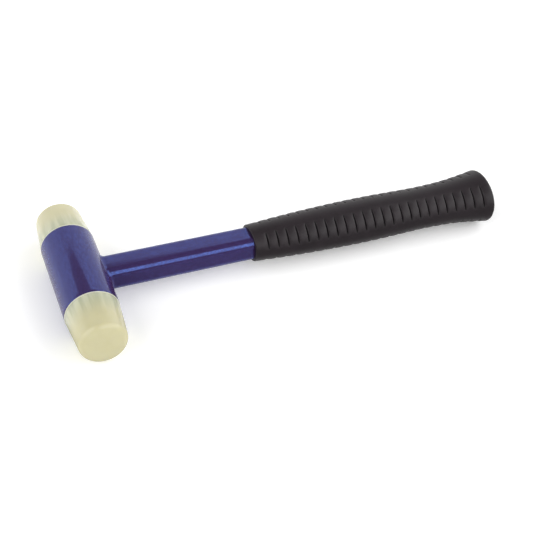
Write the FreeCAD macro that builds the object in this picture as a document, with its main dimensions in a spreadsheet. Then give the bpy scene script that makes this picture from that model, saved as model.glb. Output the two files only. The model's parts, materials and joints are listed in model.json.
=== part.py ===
import FreeCAD, Part
import math
import os
import Sketcher

# Double-ended soft-face hammer.
# The head's axis lies along Y, the shaft runs from the head towards +X, and Z is up.
# The origin is under the middle of the hammer as it lies on its side: the thicker of barrel and butt
# touches Z = 0.

# name, value (millimetres, unless the meaning says otherwise), what it sets
SIZES = (
    ("head_diameter", 35.0, "outside of the steel barrel"),
    ("barrel_length", 66.4, "steel barrel, end to end"),
    ("barrel_edge", 0.5, "chamfer round each end of the barrel"),
    ("socket_spare", 2.3, "room behind the stud in its socket"),
    ("socket_lead", 1.6, "depth of the countersink at the socket's mouth"),
    ("lead_flare", 0.4, "how far the countersink opens past the thread"),
    ("eye_depth", 7.0, "how far the shaft's eye goes past the head's axis"),
    ("ring_thickness", 0.7, "seating ring between barrel and face"),
    ("ring_inset", 0.1, "how far the ring stands back from the barrel's outside"),
    ("ring_play", 0.4, "clearance of the ring round the thread"),
    ("seat_gap", 0.05, "gap at each seat of weld, ring and face"),
    ("face_inset", 0.2, "how far the face stands back from the barrel's outside"),
    ("face_taper", 2.33, "how much the face's radius shrinks to its nose"),
    ("face_length", 29.8, "face, from its shoulder to the striking land"),
    ("crown_drop", 2.9, "how far the crown falls away from the land to the edge"),
    ("land_diameter", 8.0, "flat land in the middle of the striking face"),
    ("nose_round", 4.0, "rounding of the face's striking edge"),
    ("face_edge", 0.4, "chamfer of the face beside the ring"),
    ("stud_length", 15.0, "screw stud of the face"),
    ("stud_core", 18.8, "stud diameter between the threads"),
    ("stud_edge", 0.8, "chamfer at the stud's end"),
    ("thread_pitch", 3.0, "advance of the face per turn"),
    ("thread_depth", 1.3, "height of the thread"),
    ("thread_crest", 0.7, "width of the thread's crest"),
    ("thread_turns", 3.6, "turns of thread on the stud"),
    ("thread_start", 2.1, "middle of the first thread, from the stud's end"),
    ("thread_angle", 30.0, "slope of each flank, in degrees"),
    ("thread_gap", 0.2, "clearance round the stud's thread"),
    ("shaft_width", 20.4, "shaft in the striking direction"),
    ("shaft_height", 16.8, "shaft across the striking direction"),
    ("shaft_corner", 5.4, "rounding of the shaft's corners"),
    ("tube_wall", 2.0, "wall of the shaft's tube"),
    ("tube_gap", 0.05, "clearance round the tube in the eye, the weld and the grip"),
    ("weld_round", 3.2, "radius of the weld round the shaft's root"),
    ("plug_length", 12.0, "plug inside the tube"),
    ("plug_cap", 3.0, "plug's cap over the tube's end"),
    ("mouth_reach", 114.0, "head's axis to the grip's mouth"),
    ("mouth_round", 0.8, "rounding of the grip's mouth"),
    ("butt_reach", 290.6, "head's axis to the butt"),
    ("butt_wall", 17.0, "solid rubber behind the plug"),
    ("butt_round", 2.2, "rounding of the butt's rim"),
    ("grip_oval", 1.2, "grip's width over its height, a ratio"),
    ("slot_lead", 8.9, "mouth to the first slot"),
    ("slot_tail", 7.5, "least distance from the last slot to the butt"),
    ("slot_pitch", 6.93, "slot to slot"),
    ("slot_width", 0.9, "slot, along the grip"),
    ("slot_depth", 1.1, "slot at its deepest"),
    ("slot_rows", 4, "rows of slots round the grip, a count"),
    ("slot_twist", 50.0, "first row's turn from the top towards the near side, in degrees"),
    ("mouth_wall", 3.3, "mean rubber over the tube at the mouth"),
    ("shoulder_wall", 4.55, "the same at the shoulder"),
    ("upper_wall", 5.8, "the same above the belly"),
    ("belly_wall", 6.35, "the same at the belly"),
    ("lower_wall", 5.95, "the same below the belly"),
    ("waist_wall", 5.6, "the same at the waist"),
    ("flare_wall", 6.3, "the same where the flare begins"),
    ("rim_wall", 8.0, "the same before the rim"),
    ("butt_rubber", 9.5, "the same at the butt"),
)

# The grip's sections: the size that gives the rubber's thickness, and the share of the grip's length.
GRIP_SECTIONS = (
    ("mouth_wall", 0.0),
    ("shoulder_wall", 0.113),
    ("upper_wall", 0.283),
    ("belly_wall", 0.464),
    ("lower_wall", 0.612),
    ("waist_wall", 0.725),
    ("flare_wall", 0.849),
    ("rim_wall", 0.94),
    ("butt_rubber", 1.0),
)

# How many strips make up the rounding of the grip's ends.
ROUNDING_STEPS = 4

# How many points along an edge are tested when the edge is looked up by its place.
EDGE_SAMPLES = 9

doc = FreeCAD.newDocument("soft_face_hammer")
sheet = doc.addObject("Spreadsheet::Sheet", "sizes")


class Length:
    """A length worked out from driving sizes: a number to draw with and an expression to bind with."""

    def __init__(self, number, text):
        self.number = number
        self.text = text

    def combine(self, other, sign, result):
        text = other.text if isinstance(other, Length) else str(other)
        return Length(result, f"({self.text} {sign} {text})")

    def __add__(self, other):
        return self.combine(other, "+", self.number + plain(other))

    def __sub__(self, other):
        return self.combine(other, "-", self.number - plain(other))

    def __mul__(self, other):
        return self.combine(other, "*", self.number * plain(other))

    def __truediv__(self, other):
        return self.combine(other, "/", self.number / plain(other))

    def __neg__(self):
        return Length(-self.number, f"(-1 * {self.text})")


def plain(value):
    """The number of a length, or the number itself."""
    return value.number if isinstance(value, Length) else value


def larger(first, second):
    """The larger of two lengths."""
    return Length(max(first.number, second.number), f"max({first.text}; {second.text})")


def fill_sheet():
    """Write every driving size, its alias and its meaning into the sheet."""
    for row, (name, value, meaning) in enumerate(SIZES, 1):
        sheet.set(f"A{row}", name)
        sheet.set(f"B{row}", str(value))
        sheet.set(f"C{row}", meaning)
        sheet.setAlias(f"B{row}", name)
    doc.recompute()


def driving(name):
    """One driving size from the sheet."""
    return Length(float(sheet.get(name)), f"sizes.{name}")


def bind(thing, **values):
    """Bind properties to lengths."""
    for name, value in values.items():
        thing.setExpression(name, value.text)


def place(thing, along=None, turned=False):
    """Put a piece on the head's axis, moved along it, and turned half a turn for the near end."""
    if turned:
        thing.Placement = FreeCAD.Placement(FreeCAD.Vector(), FreeCAD.Rotation(FreeCAD.Vector(0, 0, 1), 180))
    thing.setExpression("Placement.Base.x", head_x.text)
    thing.setExpression("Placement.Base.z", head_z.text)
    if along is not None:
        thing.setExpression("Placement.Base.y", along.text)


def new_body(name):
    body = doc.addObject("PartDesign::Body", name)
    body.Label = name
    return body


def origin_item(body, role):
    """One of a body's own origin planes or axes."""
    return next(item for item in body.Origin.OriginFeatures if item.Role == role)


def new_sketch(body, name, role, offset=None):
    """A sketch on one of the body's origin planes, moved along the plane's normal by offset."""
    sketch = body.newObject("Sketcher::SketchObject", name)
    sketch.AttachmentSupport = (origin_item(body, role), [""])
    sketch.MapMode = "FlatFace"
    if offset is not None:
        sketch.setExpression("AttachmentOffset.Base.z", offset.text)
    return sketch


def tangent_arc(start, end, before):
    """The arc from start to end that leaves start straight on from before, and whether it turns left."""
    heading = (start - before).normalize()
    side = FreeCAD.Vector(-heading.y, heading.x, 0)
    chord = end - start
    reach = chord.dot(chord) / (2 * chord.dot(side))
    centre = start + side * reach
    angles = [math.atan2(point.y - centre.y, point.x - centre.x) for point in (start, end)]
    if reach < 0:
        angles.reverse()
    circle = Part.Circle(centre, FreeCAD.Vector(0, 0, 1), abs(reach))
    return Part.ArcOfCircle(circle, angles[0], angles[1]), reach > 0


def pin_corner(sketch, side, end, axis, kind, value):
    """Bind one coordinate of a corner, or put the corner on the axis where it is zero."""
    if plain(value) == 0:
        sketch.addConstraint(Sketcher.Constraint("PointOnObject", side, end, axis))
        return
    index = sketch.addConstraint(Sketcher.Constraint(kind, -1, 1, side, end, plain(value)))
    sketch.setExpression(f"Constraints[{index}]", value.text)


def outline(sketch, corners, arcs=()):
    """Draw a closed outline through corners; the sides numbered in arcs are tangent to the side before."""
    points = [FreeCAD.Vector(plain(x), plain(y), 0) for x, y in corners]
    count = len(points)
    first = sketch.GeometryCount
    starts = []
    for side in range(count):
        start, end = points[side], points[(side + 1) % count]
        if side in arcs:
            shape, left = tangent_arc(start, end, points[side - 1])
        else:
            shape, left = Part.LineSegment(start, end), True
        sketch.addGeometry(shape, False)
        starts.append(1 if left else 2)
    for side in range(count):
        before = (side - 1) % count
        joint = "Tangent" if side in arcs else "Coincident"
        sketch.addConstraint(
            Sketcher.Constraint(joint, first + before, 3 - starts[before], first + side, starts[side])
        )
        x, y = corners[side]
        pin_corner(sketch, first + side, starts[side], -2, "DistanceX", x)
        pin_corner(sketch, first + side, starts[side], -1, "DistanceY", y)


def rounded_rectangle(sketch, width, height, corner):
    """A rectangle about the sketch's origin with four equal round corners."""
    right, top = width / 2, height / 2
    inner_right, inner_top = right - corner, top - corner
    corners = (
        (-inner_right, -top), (inner_right, -top),
        (right, -inner_top), (right, inner_top),
        (inner_right, top), (-inner_right, top),
        (-right, inner_top), (-right, -inner_top),
    )
    outline(sketch, corners, arcs=(1, 3, 5, 7))


def shaft_section(sketch, growth=None):
    """The shaft's outside, grown by an equal amount all round where growth is given."""
    width, height, corner = driving("shaft_width"), driving("shaft_height"), driving("shaft_corner")
    if growth is not None:
        width, height, corner = width + growth * 2, height + growth * 2, corner + growth
    rounded_rectangle(sketch, width, height, corner)


def revolve(body, sketch, name, kind="PartDesign::Revolution"):
    """Turn a profile round the body's Y axis, to add it or, as a groove, to cut it."""
    feature = body.newObject(kind, name)
    feature.Profile = sketch
    feature.ReferenceAxis = (origin_item(body, "Y_Axis"), [""])
    feature.Angle = 360
    doc.recompute()
    return feature


def extrude(body, sketch, name, length, kind="PartDesign::Pad", backwards=False):
    """Pad or pocket a profile along the body's X axis."""
    feature = body.newObject(kind, name)
    feature.Profile = sketch
    feature.Reversed = backwards
    bind(feature, Length=length)
    doc.recompute()
    return feature


def helix(body, sketch, name, kind, height):
    """Run a thread's section round the body's Y axis."""
    feature = body.newObject(kind, name)
    feature.Profile = sketch
    feature.ReferenceAxis = (sketch, ["V_Axis"])
    feature.Mode = 0
    bind(feature, Pitch=driving("thread_pitch"), Height=height)
    doc.recompute()
    return feature


def dress(body, kind, name, base, on_edge, **sizes):
    """Round or chamfer the edges of a feature whose points all lie where on_edge says."""
    edges = []
    for index, edge in enumerate(base.Shape.Edges, 1):
        if all(on_edge(point) for point in edge.discretize(EDGE_SAMPLES)):
            edges.append(f"Edge{index}")
    if not edges:
        raise ValueError(f"{name} finds no edge")
    feature = body.newObject(kind, name)
    feature.Base = (base, edges)
    bind(feature, **sizes)
    doc.recompute()
    return feature


def near(value, wanted, slack=0.01):
    return abs(value - plain(wanted)) < slack


def from_axis(point):
    """Distance of a point from the Y axis."""
    return math.hypot(point.x, point.z)


def thread_section(sketch, side, middle, core, crest_radius, crest):
    """One thread's section on one side of the Y axis; its foot sinks a little below the core."""
    sink = driving("thread_gap")
    slope = Length(math.tan(math.radians(driving("thread_angle").number)), "tan(sizes.thread_angle * 1 deg)")
    half_foot = crest / 2 + (crest_radius - core + sink) * slope
    foot = (core - sink) * side
    tip = crest_radius * side
    outline(sketch, (
        (foot, middle - half_foot), (tip, middle - crest / 2),
        (tip, middle + crest / 2), (foot, middle + half_foot),
    ))


def head_barrel():
    """Steel barrel with a threaded socket in each end and a blind eye for the shaft."""
    body = new_body("head_barrel")
    edge = driving("barrel_edge")
    sketch = new_sketch(body, "barrel_outline", "XY_Plane")
    outline(sketch, (
        (0, -barrel_half), (head_radius - edge, -barrel_half),
        (head_radius, edge - barrel_half), (head_radius, barrel_half - edge),
        (head_radius - edge, barrel_half), (0, barrel_half),
    ))
    revolve(body, sketch, "barrel_turned")

    gap = driving("thread_gap")
    lead = driving("socket_lead")
    pitch = driving("thread_pitch")
    bore = stud_radius + gap
    groove = stud_radius + driving("thread_depth") + gap
    stud_end = face_seat - driving("stud_length")
    floor = stud_end - driving("socket_spare")
    outside = barrel_half + pitch
    mouth = groove + driving("lead_flare")
    sketch = new_sketch(body, "socket_outline", "XY_Plane")
    outline(sketch, (
        (0, floor), (bore, floor), (bore, barrel_half - lead),
        (mouth, barrel_half), (mouth, outside), (0, outside),
    ))
    socket = revolve(body, sketch, "socket_bored", "PartDesign::Groove")

    # The groove starts half a turn deeper than the seated stud's thread, on the other side.
    start = stud_end + driving("thread_start") - pitch / 2
    sketch = new_sketch(body, "socket_thread_section", "XY_Plane")
    thread_section(sketch, -1, start, bore, groove, driving("thread_crest") + gap)
    run = driving("stud_length") + pitch
    thread = helix(body, sketch, "socket_thread", "PartDesign::SubtractiveHelix", run)

    both = body.newObject("PartDesign::PolarPattern", "both_sockets")
    both.Originals = [socket, thread]
    both.Axis = (origin_item(body, "Z_Axis"), [""])
    both.Angle = 360
    both.Occurrences = 2
    body.Tip = both
    doc.recompute()

    sketch = new_sketch(body, "eye_outline", "YZ_Plane", -driving("eye_depth"))
    shaft_section(sketch, driving("tube_gap"))
    eye_run = driving("eye_depth") + driving("head_diameter")
    extrude(body, sketch, "shaft_eye", eye_run, "PartDesign::Pocket", backwards=True)
    place(body)
    return body


def striking_face(name, along, turned):
    """Nylon face: a tapered, crowned plug with its screw stud, pointing along +Y before it is placed."""
    body = new_body(name)
    base = head_radius - driving("face_inset")
    nose = base - driving("face_taper")
    length = driving("face_length")
    crown_foot = length - driving("crown_drop")
    stud_end = -driving("stud_length")
    sketch = new_sketch(body, f"{name}_outline", "XY_Plane")
    outline(sketch, (
        (0, length), (driving("land_diameter") / 2, length), (nose, crown_foot),
        (base, 0), (stud_radius, 0), (stud_radius, stud_end), (0, stud_end),
    ), arcs=(1,))
    turned_face = revolve(body, sketch, f"{name}_turned")
    rounded = dress(body, "PartDesign::Fillet", f"{name}_nose", turned_face,
                    lambda point: near(point.y, crown_foot) and near(from_axis(point), nose),
                    Radius=driving("nose_round"))
    edged = dress(body, "PartDesign::Chamfer", f"{name}_foot_edge", rounded,
                  lambda point: near(point.y, 0) and near(from_axis(point), base),
                  Size=driving("face_edge"))
    dress(body, "PartDesign::Chamfer", f"{name}_stud_edge", edged,
          lambda point: near(point.y, stud_end) and near(from_axis(point), stud_radius),
          Size=driving("stud_edge"))
    sketch = new_sketch(body, f"{name}_thread_section", "XY_Plane")
    thread_section(sketch, 1, stud_end + driving("thread_start"), stud_radius,
                   stud_radius + driving("thread_depth"), driving("thread_crest"))
    run = driving("thread_turns") * driving("thread_pitch")
    helix(body, sketch, f"{name}_thread", "PartDesign::AdditiveHelix", run)
    place(body, along, turned)
    return body


def seating_ring(name, along, turned):
    """Thin ring between barrel and face, its inner side on the barrel's end before it is placed."""
    body = new_body(name)
    bore = stud_radius + driving("thread_depth") + driving("ring_play")
    outside = head_radius - driving("ring_inset")
    thickness = driving("ring_thickness")
    sketch = new_sketch(body, f"{name}_outline", "XY_Plane")
    outline(sketch, ((bore, 0), (outside, 0), (outside, thickness), (bore, thickness)))
    revolve(body, sketch, f"{name}_turned")
    place(body, along, turned)
    return body


def neck_weld():
    """Weld that flares from the shaft onto the barrel, with both of them taken out of it."""
    body = new_body("neck_weld")
    gap = driving("seat_gap")
    sketch = new_sketch(body, "weld_barrel_outline", "XY_Plane")
    outline(sketch, ((0, -barrel_half), (head_radius, -barrel_half),
                     (head_radius, barrel_half), (0, barrel_half)))
    revolve(body, sketch, "weld_barrel")
    sketch = new_sketch(body, "weld_shaft_outline", "YZ_Plane")
    shaft_section(sketch, driving("tube_gap"))
    reach = head_radius + driving("weld_round") * 2
    joined = extrude(body, sketch, "weld_shaft", reach)
    seam_end = barrel_half.number - driving("weld_round").number
    dress(body, "PartDesign::Fillet", "weld_flare", joined,
          lambda point: near(from_axis(point), head_radius) and abs(point.y) < seam_end,
          Radius=driving("weld_round"))
    sketch = new_sketch(body, "weld_barrel_cut_outline", "XY_Plane")
    over = barrel_half + gap
    outline(sketch, ((0, -over), (head_radius + gap, -over), (head_radius + gap, over), (0, over)))
    revolve(body, sketch, "weld_barrel_cut", "PartDesign::Groove")
    sketch = new_sketch(body, "weld_shaft_cut_outline", "YZ_Plane")
    shaft_section(sketch, driving("tube_gap"))
    extrude(body, sketch, "weld_shaft_cut", reach * 2, "PartDesign::Pocket", backwards=True)
    place(body)
    return body


def shaft_tube():
    """Steel tube from the bottom of the eye to the plug."""
    body = new_body("shaft_tube")
    start = driving("tube_gap") - driving("eye_depth")
    wall = driving("tube_wall")
    sketch = new_sketch(body, "tube_outline", "YZ_Plane", start)
    shaft_section(sketch)
    shaft_section(sketch, -wall)
    extrude(body, sketch, "tube_drawn", tube_end - start)
    place(body)
    return body


def shaft_plug():
    """Plastic plug in the tube's end, with a cap that covers the tube's edge."""
    body = new_body("shaft_plug")
    gap = driving("tube_gap")
    length = driving("plug_length")
    sketch = new_sketch(body, "plug_outline", "YZ_Plane", tube_end - length)
    shaft_section(sketch, -driving("tube_wall") - gap)
    extrude(body, sketch, "plug_shank", length + gap)
    sketch = new_sketch(body, "plug_cap_outline", "YZ_Plane", tube_end + gap)
    shaft_section(sketch)
    extrude(body, sketch, "plug_head", driving("plug_cap") - gap)
    place(body)
    return body


def oval_size(wall):
    """Width and height of the grip's oval where the rubber has this thickness."""
    shaft_mean = (driving("shaft_width") + driving("shaft_height")) / 2
    mean = shaft_mean + wall * 2
    stretch = Length(math.sqrt(driving("grip_oval").number), "sqrt(sizes.grip_oval)")
    return mean * stretch, mean / stretch


def oval_sketch(body, name, wall, reach):
    """The grip's oval section at one place along the shaft."""
    width, height = oval_size(wall)
    sketch = new_sketch(body, name, "YZ_Plane", reach)
    centre = FreeCAD.Vector()
    oval = sketch.addGeometry(Part.Ellipse(centre, width.number / 2, height.number / 2), False)
    sketch.exposeInternalGeometry(oval)
    sketch.addConstraint(Sketcher.Constraint("Coincident", oval, 3, -1, 1))
    for axis, kind, value in ((1, "DistanceX", width), (2, "DistanceY", height)):
        line = sketch.Geometry[oval + axis]
        forward = line.EndPoint.x + line.EndPoint.y > line.StartPoint.x + line.StartPoint.y
        start = 1 if forward else 2
        ends = (oval + axis, start, oval + axis, 3 - start)
        index = sketch.addConstraint(Sketcher.Constraint(kind, *ends, value.number))
        sketch.setExpression(f"Constraints[{index}]", value.text)
    sketch.addConstraint(Sketcher.Constraint("Horizontal", oval + 1))
    return sketch


def slot_cutters(grip):
    """One flat-bottomed cutter for each slot; its floor cuts a crescent out of the oval."""
    width = driving("slot_width").number
    pitch = driving("slot_pitch").number
    rows = round(driving("slot_rows").number)
    room = grip_length - driving("slot_lead") - driving("slot_tail")
    count = int(room.number / pitch) + 1
    first = driving("mouth_reach").number + driving("slot_lead").number
    cutters = []
    for slot in range(count):
        reach = first + slot * pitch
        section = grip.slice(FreeCAD.Vector(1, 0, 0), reach)[0].BoundBox
        half_width, half_height = section.YLength / 2, section.ZLength / 2
        for row in range(rows):
            turn = math.radians(driving("slot_twist").number + 360 / rows * row)
            # The row runs where the circle that the oval is stretched from has this turn.
            out_y, out_z = -math.sin(turn) * half_height, math.cos(turn) * half_width
            lean = math.atan2(-out_y, out_z)
            out = math.hypot(half_width * math.sin(lean), half_height * math.cos(lean))
            touch = half_width ** 2 * math.sin(lean) / out, half_height ** 2 * math.cos(lean) / out
            cutter = Part.makeBox(width, half_width, half_width)
            cutter.translate(FreeCAD.Vector(reach - width / 2, -half_width / 2, 0))
            cutter.rotate(FreeCAD.Vector(), FreeCAD.Vector(1, 0, 0), math.degrees(lean))
            floor = 1 - driving("slot_depth").number / out
            cutter.translate(FreeCAD.Vector(0, -touch[0] * floor, touch[1] * floor))
            cutters.append(cutter)
    return Part.makeCompound(cutters)


def loft(body, name, sections):
    """Loft through ovals, each given by its rubber thickness and its reach from the head's axis."""
    sketches = [
        oval_sketch(body, f"{name}_oval_{number}", wall, reach)
        for number, (wall, reach) in enumerate(sections, 1)
    ]
    doc.recompute()
    feature = body.newObject("PartDesign::AdditiveLoft", name)
    feature.Profile = sketches[0]
    feature.Sections = sketches[1:]
    doc.recompute()
    return feature


def rounded_end(body, name, wall, reach, rounding, way):
    """Round the grip off at one end: ovals that follow a quarter circle out to reach."""
    sections = []
    for step in range(ROUNDING_STEPS + 1):
        angle = math.pi / 2 * step / ROUNDING_STEPS
        shrink = rounding * (1 - math.cos(angle))
        back = rounding * (1 - math.sin(angle)) * way
        sections.append((wall - shrink, reach - back))
    loft(body, name, sections)


def grip_sleeve():
    """Moulded rubber grip: bellied, flared, closed at the butt, with rows of crescent slots."""
    body = new_body("grip_blank")
    mouth, butt = driving("mouth_reach"), driving("butt_reach")
    lip, rim = driving("mouth_round"), driving("butt_round")
    length = butt - mouth - lip - rim
    sections = [(driving(wall), mouth + lip + length * share) for wall, share in GRIP_SECTIONS]
    loft(body, "grip_moulded", sections)
    rounded_end(body, "grip_rim", sections[-1][0], butt, rim, 1)
    rounded_end(body, "grip_lip", sections[0][0], mouth, lip, -1)
    sketch = new_sketch(body, "grip_bore_outline", "YZ_Plane", mouth)
    shaft_section(sketch, driving("tube_gap"))
    bore = grip_length - driving("butt_wall")
    extrude(body, sketch, "grip_bore", bore, "PartDesign::Pocket", backwards=True)

    cutters = doc.addObject("Part::Feature", "slot_cutters")
    cutters.Shape = slot_cutters(body.Shape)
    grip = doc.addObject("Part::Cut", "grip_sleeve")
    grip.Label = "grip_sleeve"
    grip.Base = body
    grip.Tool = cutters
    place(grip)
    return grip


def check_document():
    """Stop if any object of the document failed to build."""
    for item in doc.Objects:
        if "Invalid" in item.State or "Error" in item.State:
            raise ValueError(f"{item.Name} failed: {item.State}")


def write_parts(pieces):
    """Check each piece and write it to parts/, named by its label."""
    os.makedirs("parts", exist_ok=True)
    for piece in pieces:
        shape = piece.Shape
        if shape.isNull() or not shape.isValid() or not shape.Solids:
            raise ValueError(f"{piece.Label} has no valid solid")
        shape.exportStep(f"parts/{piece.Label}.step")
        box = shape.BoundBox
        print(f"{piece.Label:12s} volume {shape.Volume:10.1f} mm3, solids {len(shape.Solids)}, "
              f"x {box.XMin:.2f}..{box.XMax:.2f} y {box.YMin:.2f}..{box.YMax:.2f} "
              f"z {box.ZMin:.2f}..{box.ZMax:.2f}")


fill_sheet()
head_radius = driving("head_diameter") / 2
head_x = (head_radius - driving("butt_reach")) / 2
head_z = larger(head_radius, oval_size(driving("butt_rubber"))[1] / 2)
barrel_half = driving("barrel_length") / 2
stud_radius = driving("stud_core") / 2
ring_seat = barrel_half + driving("seat_gap")
face_seat = ring_seat + driving("ring_thickness") + driving("seat_gap")
grip_length = driving("butt_reach") - driving("mouth_reach")
tube_end = driving("butt_reach") - driving("butt_wall") - driving("plug_cap")

pieces = [
    head_barrel(),
    neck_weld(),
    shaft_tube(),
    shaft_plug(),
    grip_sleeve(),
    seating_ring("near_ring", -ring_seat, True),
    seating_ring("far_ring", ring_seat, False),
    striking_face("near_face", -face_seat, True),
    striking_face("far_face", face_seat, False),
]
doc.recompute()
check_document()
write_parts(pieces)
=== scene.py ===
import json
import math

import bmesh
import bpy
from mathutils import Matrix, Vector, geometry

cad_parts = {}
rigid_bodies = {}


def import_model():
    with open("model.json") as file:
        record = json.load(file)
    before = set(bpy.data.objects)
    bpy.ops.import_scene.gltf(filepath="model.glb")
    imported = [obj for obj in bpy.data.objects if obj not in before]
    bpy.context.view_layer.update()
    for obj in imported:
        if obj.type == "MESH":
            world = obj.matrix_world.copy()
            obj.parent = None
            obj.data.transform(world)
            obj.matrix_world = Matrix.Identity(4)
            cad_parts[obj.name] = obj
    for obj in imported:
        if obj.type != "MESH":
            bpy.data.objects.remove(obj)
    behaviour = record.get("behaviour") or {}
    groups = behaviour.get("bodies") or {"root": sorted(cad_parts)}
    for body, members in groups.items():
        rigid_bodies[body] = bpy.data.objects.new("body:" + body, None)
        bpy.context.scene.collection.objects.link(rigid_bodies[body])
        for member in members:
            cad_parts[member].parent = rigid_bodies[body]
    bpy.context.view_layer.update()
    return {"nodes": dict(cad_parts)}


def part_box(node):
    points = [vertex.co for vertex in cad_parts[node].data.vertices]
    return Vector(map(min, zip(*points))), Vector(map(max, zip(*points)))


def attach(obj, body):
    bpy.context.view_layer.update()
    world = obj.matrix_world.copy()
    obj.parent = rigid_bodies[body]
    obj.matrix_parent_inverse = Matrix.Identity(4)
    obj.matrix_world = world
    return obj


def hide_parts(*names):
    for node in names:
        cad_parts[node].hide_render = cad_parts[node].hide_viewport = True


# The looks of the soft-face hammer, built round its CAD frame. The head's axis lies along Y and the
# shaft runs towards +X. Sizes are in millimetres here and become metres where a mesh is made.

for leftover in list(bpy.data.objects):
    bpy.data.objects.remove(leftover)
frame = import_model()

MM = 0.001


def box_mm(node):
    """Lowest and highest corner of a CAD node, in millimetres."""
    low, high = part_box(node)
    return low / MM, high / MM


# Places and sizes that the CAD frame gives.
barrel_low, barrel_high = box_mm("head_barrel")
ring_low, ring_high = box_mm("far_ring")
face_low, face_high = box_mm("far_face")
tube_low, tube_high = box_mm("shaft_tube")
grip_low, grip_high = box_mm("grip_sleeve")
plug_end = box_mm("shaft_plug")[1].x
HEAD = (barrel_low + barrel_high) / 2
BARREL_RADIUS = (barrel_high.z - barrel_low.z) / 2
BARREL_HALF = barrel_high.y
RING_RADIUS = (ring_high.z - ring_low.z) / 2
TUBE_WIDTH = tube_high.y - tube_low.y
TUBE_HEIGHT = tube_high.z - tube_low.z

# Fits that the frame's boxes don't show, as the part has them. A face's shoulder rests on its ring.
# Shoulder and stud end count from the head's middle.
SEAT_GAP = 0.05
FACE_INSET = 0.2
SHOULDER = ring_high.y + SEAT_GAP
FACE_RADIUS = BARREL_RADIUS - FACE_INSET
FACE_LENGTH = face_high.y - SHOULDER
STUD_END = face_low.y

# The nylon face: how much its side tapers, how far its crown drops from the flat land to the edge
# of the nose, and its roundings.
FACE_TAPER = 2.33
CROWN_DROP = 2.9
LAND_RADIUS = 4.0
NOSE_ROUND = 4.0
FOOT_ROUND = 0.4
SIDE_RINGS = (18.0, 10.0, 4.0)

# The screw thread of stud and socket.
STUD_RADIUS = 9.4
STUD_EDGE = 0.8
STUD_FILLET = 0.5
THREAD_PITCH = 3.0
THREAD_DEPTH = 1.3
THREAD_CREST = 0.7
THREAD_TURNS = 3.6
THREAD_START = 2.1
THREAD_SLOPE = math.tan(math.radians(30))
THREAD_GAP = 0.2
THREAD_SINK = 0.2

# The barrel: its rounded rims, a socket's spare depth past the stud and the lead at its mouth, and
# how far below the surface the paint starts to give way to bare steel and has gone.
BARREL_EDGE = 0.5
RIM_RING = 2.0
MIDDLE_RING = 16.0
SOCKET_SPARE = 2.3
SOCKET_LEAD = 1.6
LEAD_FLARE = 0.4
PAINT_FADE, PAINT_END = 1.2, 1.7

# The seating ring.
RING_PLAY = 0.4
RING_EDGE = 0.12

# The shaft.
TUBE_CORNER = 5.4
TUBE_WALL = 2.0

# The grip: its rubber's mean thickness over the tube, at shares of the length between its rounded
# ends. Its slots are a little deeper than the CAD's, and their rows are turned by 1.5 degrees.
GRIP_WALLS = (
    (0.0, 3.3), (0.113, 4.55), (0.283, 5.8), (0.464, 6.35), (0.612, 5.95),
    (0.725, 5.6), (0.849, 6.3), (0.94, 8.0), (1.0, 9.5),
)
GRIP_OVAL = 1.2
LIP_ROUND = 0.8
BUTT_ROUND = 2.2
BORE_GAP = 0.05
SLOT_LEAD = 8.9
SLOT_TAIL = 7.5
SLOT_PITCH = 6.93
SLOT_WIDTH = 0.9
SLOT_DEPTH_SHARE = 0.105
# How deep a slot's cut is where its painted shade is full.
SLOT_PAINTED_SHADE_DEPTH = 0.2
SLOT_WALL_RUN = 0.06
SLOT_EDGE = 0.14
SLOT_EDGE_RUN = 0.3
SLOT_ROWS = 4
SLOT_TWIST = 48.5
RIB_CROWN = 0.35
RIB_CROWN_RUN = 0.32 * SLOT_PITCH
RIB_FADE = 0.6
RIB_RINGS = (0.2, 0.35, 0.5, 0.65, 0.8)
LIP_RINGS = (2.5, 4.5, 6.5)
LIP_ANGLES = range(0, 91, 15)
BUTT_RINGS = (2.0, 4.0)
BUTT_ANGLES = range(0, 91, 9)

# How finely round shapes are made. Points closer than MERGE become one, and TINY keeps a divisor
# off zero.
ROUND_STEPS = 192
GRIP_STEPS = 168
CORNER_STEPS = 36
NOSE_STEPS = 14
EDGE_STEPS = 5
FOOT_STEPS = 4
THREAD_STEPS = 48
MERGE = 0.002
TINY = 1e-9

# The bench: half its width in metres, its faint glow, and the Y where the painted shadow on its
# front part, seen only in reflections, starts and where it is full.
BENCH_HALF = 6.0
BENCH_GLOW = 0.2
PAINTED_SHADOW_START, PAINTED_SHADOW_FULL = -12.0, -26.0

# Colours, darker and lighter, and where, from its shoulder, the nylon starts and ends its change of
# tone, from painted shade at the shoulder to its own cream at the nose.
ENAMEL = ((0.048, 0.0155, 0.082), (0.073, 0.026, 0.12))
FLAKE = ((0.02, 0.06, 0.22), (0.04, 0.1, 0.34))
TURNED_STEEL = ((0.33, 0.32, 0.31), (0.5, 0.49, 0.47))
# Painted shade: the darker, greener tones of the nylon's shoulder.
NYLON_SHOULDER_PAINTED_SHADE = ((0.42, 0.44, 0.32), (0.56, 0.57, 0.43))
NYLON_NOSE = ((0.55, 0.515, 0.32), (0.60, 0.565, 0.36))
NYLON_CHANGE = (-2.0, 20.0)
RUBBER = ((0.008, 0.0045, 0.0065), (0.015, 0.009, 0.0125))
# Painted shade: the rubber's colour deep inside a slot.
RUBBER_PAINTED_SLOT_SHADE = (0.002, 0.0015, 0.002)
RING_NYLON = ((0.62, 0.62, 0.48), (0.70, 0.69, 0.54))
PLUG_BLACK = ((0.022, 0.022, 0.024), (0.04, 0.04, 0.043))
BENCH_WHITE = ((0.93, 0.93, 0.93), (0.95, 0.95, 0.95))
# Painted shadow: the bench's colour and glow where reflections see its front part.
BENCH_PAINTED_SHADOW = (0.42, 0.42, 0.42)
GLOW_WHITE, GLOW_PAINTED_SHADOW = (1.0, 1.0, 1.0), (0.1, 0.1, 0.1)


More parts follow.
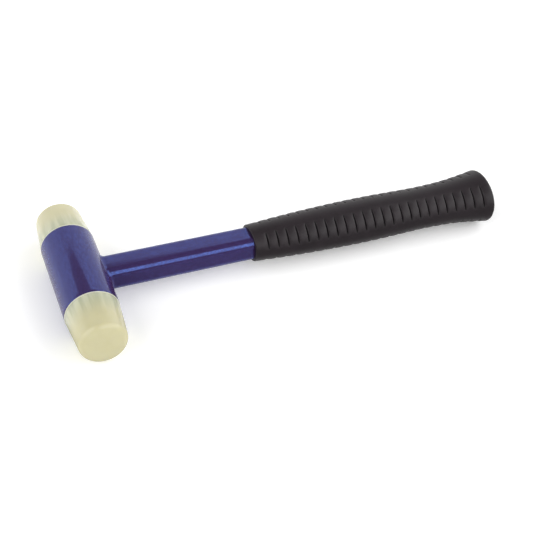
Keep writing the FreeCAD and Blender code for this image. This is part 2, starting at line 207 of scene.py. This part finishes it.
class Signal:
    """A value from a node's output. Arithmetic on it adds Math nodes to its tree."""

    def __init__(self, nodes, socket):
        self.nodes = nodes
        self.socket = socket

    def math(self, operation, *values):
        return self.nodes.add("ShaderNodeMath", {"operation": operation}, dict(enumerate(values)))

    def __add__(self, other):
        return self.math("ADD", self, other)

    def __radd__(self, other):
        return self.math("ADD", other, self)

    def __sub__(self, other):
        return self.math("SUBTRACT", self, other)

    def __rsub__(self, other):
        return self.math("SUBTRACT", other, self)

    def __mul__(self, other):
        return self.math("MULTIPLY", self, other)

    def __rmul__(self, other):
        return self.math("MULTIPLY", other, self)

    def __truediv__(self, other):
        return self.math("DIVIDE", self, other)

    def __rtruediv__(self, other):
        return self.math("DIVIDE", other, self)

    def __pow__(self, other):
        return self.math("POWER", self, other)

    def __rpow__(self, other):
        return self.math("POWER", other, self)

    def __abs__(self):
        return self.math("ABSOLUTE", self)

    def at_least(self, other):
        return self.math("MAXIMUM", self, other)

    def at_most(self, other):
        return self.math("MINIMUM", self, other)

    def rise(self, low, high):
        """0 below low, 1 above high and smooth between; it falls where low is above high."""
        if low > high:
            return 1 - self.rise(high, low)
        return self.nodes.add(
            "ShaderNodeMapRange", {"interpolation_type": "SMOOTHSTEP"},
            {"Value": self, "From Min": low, "From Max": high},
        )


class Nodes:
    """The node tree of a finish or of the studio."""

    def __init__(self, owner):
        owner.use_nodes = True
        self.owner = owner
        self.tree = owner.node_tree
        self.tree.nodes.clear()

    def add(self, kind, settings=None, sockets=None, output=0):
        """Add a node: its settings first, then each named or numbered socket's value or link."""
        node = self.tree.nodes.new(kind)
        for name, value in (settings or {}).items():
            setattr(node, name, value)
        for name, value in (sockets or {}).items():
            if isinstance(name, int):
                socket = node.inputs[name]
            else:
                socket = next(s for s in node.inputs if s.name == name and s.enabled)
            if isinstance(value, Signal):
                self.tree.links.new(value.socket, socket)
            elif socket.type == "RGBA" and len(value) == 3:
                socket.default_value = (*value, 1.0)
            else:
                socket.default_value = value
        if not node.outputs:
            return None
        if isinstance(output, int):
            output = [s.name for s in node.outputs if s.enabled][output]
        return Signal(self, next(s for s in node.outputs if s.name == output and s.enabled))

    def place(self):
        """Where a point of the piece is, in metres."""
        return self.add("ShaderNodeTexCoord", output="Object")

    def split(self, vector):
        """The X, Y and Z of a vector."""
        parts = self.add("ShaderNodeSeparateXYZ", None, {0: vector})
        return [Signal(self, socket) for socket in parts.socket.node.outputs]

    def stretched(self, vector, scale):
        """A vector with each of its parts scaled."""
        return self.add("ShaderNodeVectorMath", {"operation": "MULTIPLY"}, {0: vector, 1: scale})

    def noise(self, vector, grain, detail=2.0, roughness=0.5):
        """Noise from 0 to 1 whose lumps are about grain millimetres across."""
        return self.add(
            "ShaderNodeTexNoise", None,
            {"Vector": vector, "Scale": 1 / (grain * MM), "Detail": detail, "Roughness": roughness},
        )

    def cells(self, vector, grain):
        """A random value from 0 to 1 for each cell about grain millimetres across."""
        colour = self.add(
            "ShaderNodeTexVoronoi", None, {"Vector": vector, "Scale": 1 / (grain * MM)}, "Color",
        )
        return self.split(colour)[0]

    def mixed(self, factor, first, second):
        """Two colours mixed by a factor from 0 to 1."""
        return self.add(
            "ShaderNodeMix", {"data_type": "RGBA"},
            {"Factor": factor, "A": first, "B": second},
        )

    def bump(self, height, depth, normal=None):
        """A normal roughened by height, which runs from 0 to 1 over depth millimetres."""
        sockets = {"Height": height, "Distance": depth * MM, "Strength": 1.0}
        if normal:
            sockets["Normal"] = normal
        return self.add("ShaderNodeBump", None, sockets)

    def surface(self, **sockets):
        """A Principled shader; an underscore in a name stands for a space."""
        return self.add(
            "ShaderNodeBsdfPrincipled", None,
            {name.replace("_", " "): value for name, value in sockets.items()},
        )

    def show(self, shader, kind="ShaderNodeOutputMaterial"):
        """Make a shader the tree's result."""
        self.add(kind, None, {"Surface": shader})


def new_finish(name):
    """The node tree of a new material."""
    return Nodes(bpy.data.materials.new(name))


def from_head_axis(finish, place):
    """A point's distance from the head's axis, in metres."""
    x, _, z = finish.split(place)
    across, upwards = x - HEAD.x * MM, z - HEAD.z * MM
    return (across * across + upwards * upwards) ** 0.5


def metallic_paint(name, bare_inside=False):
    """Violet enamel with blue metal flake under a thin clear coat; bare steel in the sockets."""
    finish = new_finish(name)
    place = finish.place()
    flake = finish.cells(place, grain=0.7)
    cloud = finish.noise(place, grain=9.0, detail=3.0)
    peel = finish.noise(place, grain=1.6, detail=1.0)
    orange_peel = finish.bump(peel, depth=0.0012)
    sparkle = finish.bump(flake, depth=0.008, normal=orange_peel)
    enamel = finish.surface(
        Base_Color=finish.mixed(flake.rise(0.2, 1.0), *ENAMEL),
        Roughness=0.4 + 0.1 * cloud, IOR=1.45, Specular_IOR_Level=0.15,
        Coat_Weight=0.22, Coat_Roughness=0.05, Coat_IOR=1.5, Normal=orange_peel,
    )
    metal = finish.surface(
        Base_Color=finish.mixed(flake.rise(0.0, 1.0), *FLAKE),
        Metallic=1.0, Roughness=0.05 + 0.04 * cloud,
        Coat_Weight=0.22, Coat_Roughness=0.05, Coat_IOR=1.5, Normal=sparkle,
    )
    shader = finish.add("ShaderNodeMixShader", None, {0: 0.36 + 0.2 * flake, 1: enamel, 2: metal})
    if bare_inside:
        radius = from_head_axis(finish, place)
        inside = radius.rise((BARREL_RADIUS - PAINT_FADE) * MM, (BARREL_RADIUS - PAINT_END) * MM)
        turning = finish.noise(finish.stretched(place, (1.0, 8.0, 1.0)), grain=2.0)
        steel = finish.surface(
            Base_Color=finish.mixed(turning, *TURNED_STEEL),
            Metallic=1.0, Roughness=0.3 + 0.2 * turning, Normal=finish.bump(turning, depth=0.02),
        )
        shader = finish.add("ShaderNodeMixShader", None, {0: inside, 1: shader, 2: steel})
    finish.show(shader)
    return finish


def moulded_nylon(name):
    """Translucent cast nylon, creamier towards the nose; its darker, greener shoulder is painted
    shade with painted reflection streaks.
    """
    finish = new_finish(name)
    place = finish.place()
    _, along, _ = finish.split(place)
    to_nose = (abs(along) / MM - SHOULDER).rise(*NYLON_CHANGE)
    painted_streaks = finish.noise(finish.stretched(place, (1.0, 0.12, 1.0)), grain=3.4)
    milky = finish.noise(place, grain=7.0, detail=3.0)
    skin = finish.noise(place, grain=0.9)
    # Painted shade and painted reflection streaks at the shoulder.
    shoulder_painted_shade = finish.mixed(painted_streaks.rise(0.35, 0.68), *NYLON_SHOULDER_PAINTED_SHADE)
    nose_tone = finish.mixed(milky, *NYLON_NOSE)
    shader = finish.surface(
        Base_Color=finish.mixed(to_nose, shoulder_painted_shade, nose_tone),
        Roughness=0.16 + 0.08 * milky, IOR=1.53,
        Subsurface_Weight=0.55, Subsurface_Radius=(1.0, 0.95, 0.6), Subsurface_Scale=3.0 * MM,
        Normal=finish.bump(skin, depth=0.004),
    )
    finish.show(shader)
    return finish


def moulded_rubber(name):
    """Charcoal rubber with a fine moulded grain and a soft bloom; shade is painted dark inside the
    slots.
    """
    finish = new_finish(name)
    place = finish.place()
    grain = finish.noise(place, grain=0.35, detail=3.0, roughness=0.6)
    bloom = finish.noise(place, grain=12.0, detail=4.0, roughness=0.6)
    pits = finish.noise(place, grain=1.1)
    # Painted shade: a per-point share that darkens the colour inside the slots.
    painted_slot_shade = finish.add("ShaderNodeAttribute", {"attribute_name": "painted_slot_shade"}, output="Fac")
    outside = finish.mixed(bloom.rise(0.3, 0.7) * 0.6 + grain * 0.4, *RUBBER)
    shader = finish.surface(
        Base_Color=finish.mixed(painted_slot_shade, outside, RUBBER_PAINTED_SLOT_SHADE),
        Roughness=0.4 + 0.15 * bloom + 0.35 * painted_slot_shade, IOR=1.5, Specular_IOR_Level=0.36,
        Normal=finish.bump(grain, depth=0.035, normal=finish.bump(pits, depth=0.03)),
    )
    finish.show(shader)
    return finish


def pale_ring(name):
    """Milky nylon of the seating rings, faintly turned."""
    finish = new_finish(name)
    place = finish.place()
    milky = finish.noise(place, grain=4.0, detail=3.0)
    turning = finish.noise(finish.stretched(place, (1.0, 9.0, 1.0)), grain=1.2, detail=1.0)
    shader = finish.surface(
        Base_Color=finish.mixed(milky, *RING_NYLON),
        Roughness=0.35 + 0.1 * turning, IOR=1.5, Subsurface_Weight=0.3,
        Subsurface_Radius=(1.0, 0.95, 0.7), Subsurface_Scale=1.0 * MM,
        Normal=finish.bump(turning, depth=0.006),
    )
    finish.show(shader)
    return finish


def plug_plastic(name):
    """Dull black plastic with a fine spark texture."""
    finish = new_finish(name)
    place = finish.place()
    spark = finish.noise(place, grain=0.4)
    shader = finish.surface(
        Base_Color=finish.mixed(spark, *PLUG_BLACK),
        Roughness=0.5 + 0.2 * spark, Normal=finish.bump(spark, depth=0.02),
    )
    finish.show(shader)
    return finish


def pale_floor(name):
    """A matt white bench top; in reflections its front part has a painted shadow, dim as in the
    hammer's shade.
    """
    finish = new_finish(name)
    place = finish.place()
    mottle = finish.noise(place, grain=60.0)
    _, along, _ = finish.split(place)
    mirrored = finish.add("ShaderNodeLightPath", output="Is Glossy Ray")
    # Painted shadow: in glossy rays the bench's front is darkened in colour and glow.
    painted_shadow = mirrored * along.rise(PAINTED_SHADOW_START * MM, PAINTED_SHADOW_FULL * MM)
    shader = finish.surface(
        Base_Color=finish.mixed(painted_shadow, finish.mixed(mottle, *BENCH_WHITE), BENCH_PAINTED_SHADOW),
        Emission_Color=finish.mixed(painted_shadow, GLOW_WHITE, GLOW_PAINTED_SHADOW), Emission_Strength=BENCH_GLOW,
        Roughness=0.9, Specular_IOR_Level=0.0,
    )
    finish.show(shader)
    return finish


def arc(centre, radius, first, last, steps):
    """Points on an arc from one angle to another, in degrees from the first axis."""
    points = []
    for step in range(steps + 1):
        angle = math.radians(first + (last - first) * step / steps)
        points.append((centre[0] + radius * math.cos(angle), centre[1] + radius * math.sin(angle)))
    return points


def chain(bm, points, closed=False):
    """Edges through points, in millimetres."""
    verts = [bm.verts.new(Vector(point) * MM) for point in points]
    pairs = list(zip(verts, verts[1:]))
    if closed:
        pairs.append((verts[-1], verts[0]))
    return verts + [bm.edges.new(pair) for pair in pairs]


def spin_round(bm, geometry, axis, steps):
    """Spin a profile right round an axis through the origin and close its seam and poles."""
    bmesh.ops.spin(
        bm, geom=geometry, cent=(0, 0, 0), axis=axis, dvec=(0, 0, 0),
        angle=math.tau, steps=steps, use_merge=True,
    )
    bmesh.ops.remove_doubles(bm, verts=bm.verts, dist=MERGE * MM)
    bmesh.ops.recalc_face_normals(bm, faces=bm.faces)


def around_head(profile):
    """A profile of (distance from the head's axis, place along it) as points."""
    return [(radius, along, 0) for radius, along in profile]


def screw_ridge(bm, section, start, turns):
    """A ridge of this section, wound as a right-hand helix about the Y axis."""
    outline = around_head([(radius, start + along) for radius, along in section])
    geom = chain(bm, outline, closed=True)
    face = bmesh.ops.contextual_create(bm, geom=geom)["faces"][0]
    steps = round(turns * THREAD_STEPS)
    others = set(bm.faces) - {face}
    bmesh.ops.spin(
        bm, geom=[face], cent=(0, 0, 0), axis=(0, 1, 0),
        dvec=(0, THREAD_PITCH * MM * turns / steps, 0), angle=math.tau * turns, steps=steps,
    )
    bmesh.ops.recalc_face_normals(bm, faces=[face for face in bm.faces if face not in others])


def set_in_place(name, bm, body, finish, node, sharp=32.0):
    """Make the piece that replaces a CAD node, shade it and tie it to the frame."""
    mesh = bpy.data.meshes.new(name)
    bm.to_mesh(mesh)
    bm.free()
    mesh.materials.append(finish.owner)
    mesh.shade_smooth()
    mesh.set_sharp_from_angle(angle=math.radians(sharp))
    piece = bpy.data.objects.new(name, mesh)
    bpy.context.scene.collection.objects.link(piece)
    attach(piece, body)
    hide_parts(node)


def turn_end_for_end(bm, verts):
    """Turn points half round, so that what points along +Y points along -Y."""
    bmesh.ops.rotate(bm, verts=verts, cent=(0, 0, 0), matrix=Matrix.Rotation(math.pi, 3, "Z"))


def put_on_head(bm, turned=False):
    """Move a piece from the origin to the head, turned where it belongs to the near end."""
    if turned:
        turn_end_for_end(bm, bm.verts)
    bmesh.ops.translate(bm, verts=bm.verts, vec=HEAD * MM)


def nose_profile():
    """The face's outside, from its middle to its foot: land, crown, rounded edge, side."""
    crown_foot = FACE_LENGTH - CROWN_DROP
    nose_radius = FACE_RADIUS - FACE_TAPER
    reach = nose_radius - LAND_RADIUS
    crown_radius = (reach ** 2 + CROWN_DROP ** 2) / (2 * CROWN_DROP)
    crown_centre = Vector((LAND_RADIUS, FACE_LENGTH - crown_radius))
    foot, edge = Vector((FACE_RADIUS, 0)), Vector((nose_radius, crown_foot))
    side = (edge - foot).normalized()
    outward = Vector((side.y, -side.x))
    hits = geometry.intersect_line_sphere_2d(
        foot - outward * NOSE_ROUND, edge - outward * NOSE_ROUND + side * NOSE_ROUND,
        crown_centre, crown_radius - NOSE_ROUND, False,
    )
    centre = max((hit for hit in hits if hit is not None), key=lambda hit: hit.y)
    side_angle = math.degrees(math.atan2(outward.y, outward.x))
    spoke = centre - crown_centre
    crown_angle = math.degrees(math.atan2(spoke.y, spoke.x))
    points = [(0, FACE_LENGTH)]
    points += arc(crown_centre, crown_radius, 90, crown_angle, NOSE_STEPS)
    points += arc(centre, NOSE_ROUND, crown_angle, side_angle, NOSE_STEPS)[1:]
    points += [(FACE_RADIUS - FACE_TAPER * along / crown_foot, along) for along in SIDE_RINGS]
    points += arc((FACE_RADIUS - FOOT_ROUND, FOOT_ROUND), FOOT_ROUND, 0, -90, FOOT_STEPS)
    return points


def striking_face(name, body, turned, finish):
    """Nylon face with its screw stud, pointing along +Y before it is placed."""
    bm = bmesh.new()
    profile = [(radius, SHOULDER + along) for radius, along in nose_profile()]
    profile += [
        (STUD_RADIUS + STUD_FILLET, SHOULDER), (STUD_RADIUS, SHOULDER - STUD_FILLET),
        (STUD_RADIUS, STUD_END + STUD_EDGE), (STUD_RADIUS - STUD_EDGE, STUD_END), (0, STUD_END),
    ]
    spin_round(bm, chain(bm, around_head(profile)), (0, 1, 0), ROUND_STEPS)
    half_crest = THREAD_CREST / 2
    half_foot = half_crest + (THREAD_DEPTH + THREAD_SINK) * THREAD_SLOPE
    section = [
        (STUD_RADIUS - THREAD_SINK, -half_foot), (STUD_RADIUS + THREAD_DEPTH, -half_crest),
        (STUD_RADIUS + THREAD_DEPTH, half_crest), (STUD_RADIUS - THREAD_SINK, half_foot),
    ]
    screw_ridge(bm, section, STUD_END + THREAD_START, THREAD_TURNS)
    put_on_head(bm, turned)
    set_in_place(name + "_nylon", bm, body, finish, name)


def seating_ring(name, body, turned, finish):
    """Thin ring between barrel and face."""
    bm = bmesh.new()
    bore = STUD_RADIUS + THREAD_DEPTH + RING_PLAY
    inner, outer = ring_low.y, ring_high.y
    profile = [
        (bore, inner), (RING_RADIUS - RING_EDGE, inner), (RING_RADIUS, inner + RING_EDGE),
        (RING_RADIUS, outer - RING_EDGE), (RING_RADIUS - RING_EDGE, outer), (bore, outer),
    ]
    spin_round(bm, chain(bm, around_head(profile), closed=True), (0, 1, 0), ROUND_STEPS)
    put_on_head(bm, turned)
    set_in_place(name + "_nylon", bm, body, finish, name)


def head_barrel(finish):
    """Steel barrel with rounded rims and a threaded socket in each end; half is made and copied."""
    bm = bmesh.new()
    wall = STUD_RADIUS + THREAD_DEPTH + THREAD_GAP
    floor = STUD_END - SOCKET_SPARE
    rim = BARREL_RADIUS - BARREL_EDGE
    half = [
        (0, floor), (wall, floor),
        (wall, BARREL_HALF - SOCKET_LEAD), (wall + LEAD_FLARE, BARREL_HALF),
        *arc((rim, BARREL_HALF - BARREL_EDGE), BARREL_EDGE, 90, 0, EDGE_STEPS),
        (BARREL_RADIUS, BARREL_HALF - RIM_RING), (BARREL_RADIUS, MIDDLE_RING), (BARREL_RADIUS, 0),
    ]
    spin_round(bm, chain(bm, around_head(half)), (0, 1, 0), ROUND_STEPS)
    bore = STUD_RADIUS + THREAD_GAP
    land = THREAD_PITCH - THREAD_CREST - THREAD_GAP
    land_at_bore = land - 2 * THREAD_DEPTH * THREAD_SLOPE
    section = [
        (wall + THREAD_SINK, -land / 2), (wall, -land / 2), (bore, -land_at_bore / 2),
        (bore, land_at_bore / 2), (wall, land / 2), (wall + THREAD_SINK, land / 2),
    ]
    start = STUD_END + THREAD_START - THREAD_PITCH / 2
    turns = (BARREL_HALF - SOCKET_LEAD - land / 2 - start) / THREAD_PITCH
    screw_ridge(bm, section, start, turns)
    other = bmesh.ops.duplicate(bm, geom=bm.verts[:] + bm.edges[:] + bm.faces[:])
    verts = [item for item in other["geom"] if isinstance(item, bmesh.types.BMVert)]
    turn_end_for_end(bm, verts)
    bmesh.ops.remove_doubles(bm, verts=bm.verts, dist=MERGE * MM)
    put_on_head(bm)
    set_in_place("head_barrel_painted", bm, "hammer", finish, "head_barrel")


def shaft_tube(finish):
    """Drawn steel tube of rounded rectangular section."""
    bm = bmesh.new()
    size = Matrix.Diagonal((TUBE_HEIGHT, TUBE_WIDTH, 1.0)).to_4x4()
    stand = Matrix.Rotation(math.pi / 2, 4, "Y")
    centre = Matrix.Translation(Vector((tube_low.x, HEAD.y, (tube_low.z + tube_high.z) / 2)) * MM)
    grid = bmesh.ops.create_grid(
        bm, x_segments=1, y_segments=1, size=0.5 * MM, matrix=centre @ stand @ size,
    )
    bmesh.ops.bevel(
        bm, geom=grid["verts"], offset=TUBE_CORNER * MM, offset_type="OFFSET",
        affect="VERTICES", segments=CORNER_STEPS, profile=0.5, material=-1,
    )
    inside = bm.faces[:]
    bmesh.ops.inset_region(
        bm, faces=inside, thickness=TUBE_WALL * MM, use_even_offset=True, use_boundary=True,
    )
    bmesh.ops.delete(bm, geom=inside, context="FACES")
    walls = bmesh.ops.extrude_face_region(bm, geom=bm.faces[:])
    verts = [item for item in walls["geom"] if isinstance(item, bmesh.types.BMVert)]
    bmesh.ops.translate(bm, verts=verts, vec=Vector((tube_high.x - tube_low.x, 0, 0)) * MM)
    bmesh.ops.recalc_face_normals(bm, faces=bm.faces)
    set_in_place("shaft_tube_painted", bm, "hammer", finish, "shaft_tube", sharp=50)


def grip_wall(share):
    """The rubber's mean thickness at a share of the grip's length, smooth through GRIP_WALLS."""
    places = [place for place, _ in GRIP_WALLS]
    walls = [wall for _, wall in GRIP_WALLS]
    last = len(places) - 1
    slopes = []
    for index in range(last + 1):
        before, after = max(index - 1, 0), min(index + 1, last)
        slopes.append((walls[after] - walls[before]) / (places[after] - places[before]))
    index = max(i for i in range(last) if places[i] <= share)
    run = places[index + 1] - places[index]
    t = (share - places[index]) / run
    return (
        walls[index] * (1 + 2 * t) * (1 - t) ** 2 + slopes[index] * run * t * (1 - t) ** 2
        + walls[index + 1] * t * t * (3 - 2 * t) + slopes[index + 1] * run * t * t * (t - 1)
    )


def grip_radius(x):
    """The grip's mean radius at x, its rounded ends included."""
    mean_tube = (TUBE_WIDTH + TUBE_HEIGHT) / 4
    start, end = grip_low.x + LIP_ROUND, grip_high.x - BUTT_ROUND
    share = min(max((x - start) / (end - start), 0.0), 1.0)
    radius = mean_tube + grip_wall(share)
    for rounding, past in ((LIP_ROUND, start - x), (BUTT_ROUND, x - end)):
        if past > 0:
            radius -= rounding - math.sqrt(max(rounding ** 2 - past ** 2, 0.0))
    return radius


def slot_places():
    """Where the slots of a row are along the grip."""
    room = grip_high.x - grip_low.x - SLOT_LEAD - SLOT_TAIL
    count = int(room / SLOT_PITCH) + 1
    return [grip_low.x + SLOT_LEAD + SLOT_PITCH * slot for slot in range(count)]


def grip_rings(slots):
    """Where the grip gets a ring of points: at its rounded ends, its ribs and its slots' edges."""
    half = SLOT_WIDTH / 2
    rings = [grip_low.x + LIP_ROUND * (1 - math.cos(math.radians(angle))) for angle in LIP_ANGLES]
    rings += [grip_low.x + along for along in LIP_RINGS]
    for slot in slots:
        rings.append(slot)
        for away in (half - SLOT_WALL_RUN, half, half + SLOT_EDGE_RUN):
            rings += [slot - away, slot + away]
    for slot in slots[:-1]:
        rings += [slot + SLOT_PITCH * share for share in RIB_RINGS]
    rings += [slots[-1] + along for along in BUTT_RINGS]
    end = grip_high.x - BUTT_ROUND
    rings += [end + BUTT_ROUND * math.sin(math.radians(angle)) for angle in BUTT_ANGLES]
    return sorted(rings)


def carve(x, angle, radius, slots):
    """A point's radius once slots are cut and ribs crowned, and its share of the painted shade in
    the slots.
    """
    pitch_angle = 360 / SLOT_ROWS
    turn = (angle - SLOT_TWIST + pitch_angle / 2) % pitch_angle - pitch_angle / 2
    floor = radius * (1 - SLOT_DEPTH_SHARE) / math.cos(math.radians(turn))
    cut = max(radius - floor, 0.0)
    if cut == 0 or not slots[0] - SLOT_PITCH < x < slots[-1] + SLOT_PITCH:
        return radius, 0.0
    past_slot = min(abs(x - slot) for slot in slots) - SLOT_WIDTH / 2
    if past_slot < -SLOT_WALL_RUN / 2:
        return radius - cut, min(cut / SLOT_PAINTED_SHADE_DEPTH, 1.0)
    fade = min(cut / (SLOT_DEPTH_SHARE * radius * RIB_FADE), 1.0)
    edge = SLOT_EDGE * fade * max(1 - past_slot / SLOT_EDGE_RUN, 0.0)
    crown = RIB_CROWN * fade * max(1 - past_slot / RIB_CROWN_RUN, 0.0) ** 2
    return radius - min(edge + crown, cut), 0.0


def bore_point(angle, x):
    """The point of the grip's bore, a rounded rectangle, in a direction round the shaft."""
    across, upwards = -math.sin(angle), math.cos(angle)
    half_width, half_height = TUBE_WIDTH / 2 + BORE_GAP, TUBE_HEIGHT / 2 + BORE_GAP
    corner = TUBE_CORNER + BORE_GAP
    reach = min(half_width / max(abs(across), TINY), half_height / max(abs(upwards), TINY))
    middle = Vector((half_width - corner, half_height - corner))
    way = Vector((abs(across), abs(upwards)))
    if way.x * reach > middle.x and way.y * reach > middle.y:
        along = way.dot(middle)
        reach = along + math.sqrt(max(along ** 2 - middle.length_squared + corner ** 2, 0.0))
    return Vector((x, HEAD.y + across * reach, HEAD.z + upwards * reach)) * MM


def grip_sleeve(finish):
    """Bellied rubber grip with crescent slots, a rounded lip and a closed, flared butt."""
    slots = slot_places()
    stretch = math.sqrt(GRIP_OVAL)
    bm = bmesh.new()
    # Each point's share of the painted shade inside the slots.
    painted_slot_shade = bm.verts.layers.float.new("painted_slot_shade")
    profile = [(x, 0, grip_radius(x)) for x in grip_rings(slots)]
    profile.append((grip_high.x, 0, 0))
    spin_round(bm, chain(bm, profile), (1, 0, 0), GRIP_STEPS)
    for vert in bm.verts:
        x, across, upwards = vert.co / MM
        radius = max(math.hypot(across, upwards), TINY)
        carved, vert[painted_slot_shade] = carve(x, math.degrees(math.atan2(-across, upwards)), radius, slots)
        across *= stretch * carved / radius
        upwards *= carved / radius / stretch
        vert.co = Vector((x, HEAD.y + across, HEAD.z + upwards)) * MM
    mouth = [edge for edge in bm.edges if edge.is_boundary]
    for depth in (0.0, plug_end - grip_low.x):
        grown = bmesh.ops.extrude_edge_only(bm, edges=mouth)
        mouth = [item for item in grown["geom"] if isinstance(item, bmesh.types.BMEdge)]
        mouth = [edge for edge in mouth if edge.is_boundary]
        for vert in {vert for edge in mouth for vert in edge.verts}:
            across, upwards = vert.co.y / MM - HEAD.y, vert.co.z / MM - HEAD.z
            vert.co = bore_point(math.atan2(-across, upwards), grip_low.x + depth)
    bmesh.ops.holes_fill(bm, edges=mouth, sides=0)
    bmesh.ops.recalc_face_normals(bm, faces=bm.faces)
    set_in_place("grip_rubber_sleeve", bm, "hammer", finish, "grip_sleeve", sharp=55)


def give(node, finish):
    """Give a CAD node its finish."""
    piece = frame["nodes"][node]
    piece.data.materials.clear()
    piece.data.materials.append(finish.owner)


def floor_plane(finish):
    """The bench that the hammer lies on."""
    bm = bmesh.new()
    bmesh.ops.create_grid(bm, x_segments=1, y_segments=1, size=BENCH_HALF)
    mesh = bpy.data.meshes.new("bench")
    bm.to_mesh(mesh)
    bm.free()
    mesh.materials.append(finish.owner)
    bench = bpy.data.objects.new("bench", mesh)
    bpy.context.scene.collection.objects.link(bench)


# The studio's brightness: a white wall behind and at the left, a dim ceiling and front, a soft box
# above the front and one at each side.
WALL_LIGHT = 1.15
CEILING_LIGHT = 0.26
FRONT_LIGHT = 0.25
BOX_LIGHT = 2.6
SIDE_LIGHT = 2.5

# Where each of them is. A pair is where an edge starts to show and where it is full. X, Y and Z are
# parts of a direction, and a slope is one part over another, which is LEAST or more.
LEAST = 0.02
WALL_FOOT_Y = (-0.25, 0.05)
WALL_TOP_SLOPE = (0.868, 0.85)
WALL_TOP_TILT, TILT_END = 0.1, 0.5
WALL_LEFT, WALL_LEFT_FALL = -0.2, 0.15
WALL_RIGHT, WALL_RIGHT_RISE, WALL_RIGHT_RUN = 0.15, 0.15, 0.3
FRONT_SLOPE = (1.0, 1.6)
BOX_BACK_SLOPE, BOX_FRONT_SLOPE = (0.36, 0.8), (5.0, 1.6)
BOX_LEFT_SLOPE, BOX_RIGHT_SLOPE = (-0.25, 0.1), (2.4, 1.4)
BOX_LOW_Z = (0.0, 0.1)
SIDE_INNER_SLOPE = (0.45, 0.65)
SIDE_LOW_Z = (0.1, 0.2)
SIDE_BACK_Y, SIDE_FRONT_Y = (0.35, 0.2), (-0.75, -0.5)
LEFT_TOP_Z, LEFT_EDGE_X, LEFT_FRONT_Y = (0.65, 0.5), (-0.55, -0.85), (-0.5, -0.05)


def studio_light():
    """Light from all round, by direction; the camera itself sees a plain white backdrop."""
    world = bpy.data.worlds.new("studio")
    bpy.context.scene.world = world
    studio = Nodes(world)
    x, y, z = studio.split(studio.add("ShaderNodeTexCoord", output="Generated"))
    behind, above = y.at_least(LEAST), z.at_least(LEAST)
    across, sideways, forward = x / behind, x / above, (0 - y) / above
    wall_top = (
        z / behind - across.at_most(TILT_END) * WALL_TOP_TILT
        + (WALL_LEFT - across).at_least(0.0) * WALL_LEFT_FALL
        - (across - WALL_RIGHT).at_least(0.0).at_most(WALL_RIGHT_RUN) * WALL_RIGHT_RISE
    )
    wall = y.rise(*WALL_FOOT_Y) * wall_top.rise(*WALL_TOP_SLOPE)
    soft_box = (
        forward.rise(*BOX_BACK_SLOPE) * forward.rise(*BOX_FRONT_SLOPE)
        * sideways.rise(*BOX_RIGHT_SLOPE) * sideways.rise(*BOX_LEFT_SLOPE) * z.rise(*BOX_LOW_Z)
    )
    side_boxes = (
        (abs(x) / above).rise(*SIDE_INNER_SLOPE) * z.rise(*SIDE_LOW_Z)
        * y.rise(*SIDE_BACK_Y) * y.rise(*SIDE_FRONT_Y)
    )
    left_wall = z.rise(*LEFT_TOP_Z) * x.rise(*LEFT_EDGE_X) * y.rise(*LEFT_FRONT_Y)
    strength = CEILING_LIGHT + (FRONT_LIGHT - CEILING_LIGHT) * forward.rise(*FRONT_SLOPE)
    for patch in (
        wall * WALL_LIGHT, soft_box * BOX_LIGHT, left_wall * WALL_LIGHT, side_boxes * SIDE_LIGHT,
    ):
        strength = strength.at_least(patch)
    seen = studio.add("ShaderNodeLightPath", output="Is Camera Ray")
    light = studio.add(
        "ShaderNodeBackground", None,
        {"Color": (1.0, 1.0, 1.0), "Strength": strength * (1 - seen) + seen},
    )
    studio.show(light, "ShaderNodeOutputWorld")


# The camera: its direction from the head, how it is rolled, how far off it is, and where the head's
# middle lies from the middle of the view.
CAMERA_AZIMUTH = math.radians(-23.76)
CAMERA_ELEVATION = math.radians(40.75)
CAMERA_ROLL = math.radians(3.78)
CAMERA_DISTANCE = 642.1
CAMERA_LENS = 68.97
HEAD_RIGHT = -117.5
HEAD_UP = -7.53


def aim_camera():
    """Put the camera where it sees the hammer from the front left and above."""
    azimuth, elevation = CAMERA_AZIMUTH, CAMERA_ELEVATION
    back = Vector((
        math.sin(azimuth) * math.cos(elevation),
        -math.cos(azimuth) * math.cos(elevation),
        math.sin(elevation),
    ))
    right = Vector((math.cos(azimuth), math.sin(azimuth), 0))
    up = back.cross(right)
    tilted_right = right * math.cos(CAMERA_ROLL) + up * math.sin(CAMERA_ROLL)
    tilted_up = back.cross(tilted_right)
    place = HEAD - tilted_right * HEAD_RIGHT - tilted_up * HEAD_UP + back * CAMERA_DISTANCE
    lens = bpy.data.cameras.new("camera")
    lens.lens = CAMERA_LENS
    lens.sensor_width = 36.0
    lens.clip_start, lens.clip_end = 0.02, 20.0
    camera = bpy.data.objects.new("camera", lens)
    turn = Matrix((tilted_right, tilted_up, back)).transposed()
    camera.matrix_world = Matrix.Translation(place * MM) @ turn.to_4x4()
    bpy.context.scene.collection.objects.link(camera)
    bpy.context.scene.camera = camera


barrel_paint = metallic_paint("barrel_paint", bare_inside=True)
shaft_paint = metallic_paint("shaft_paint")
nylon = moulded_nylon("face_nylon")
ring_nylon = pale_ring("ring_nylon")

head_barrel(barrel_paint)
shaft_tube(shaft_paint)
grip_sleeve(moulded_rubber("grip_rubber"))
for side, turned in (("near", True), ("far", False)):
    striking_face(side + "_face", side + "_face_body", turned, nylon)
    seating_ring(side + "_ring", side + "_ring_body", turned, ring_nylon)
give("neck_weld", shaft_paint)
give("shaft_plug", plug_plastic("plug_plastic"))

floor_plane(pale_floor("bench_top"))
studio_light()
aim_camera()
bpy.context.scene.view_settings.view_transform = "Standard"
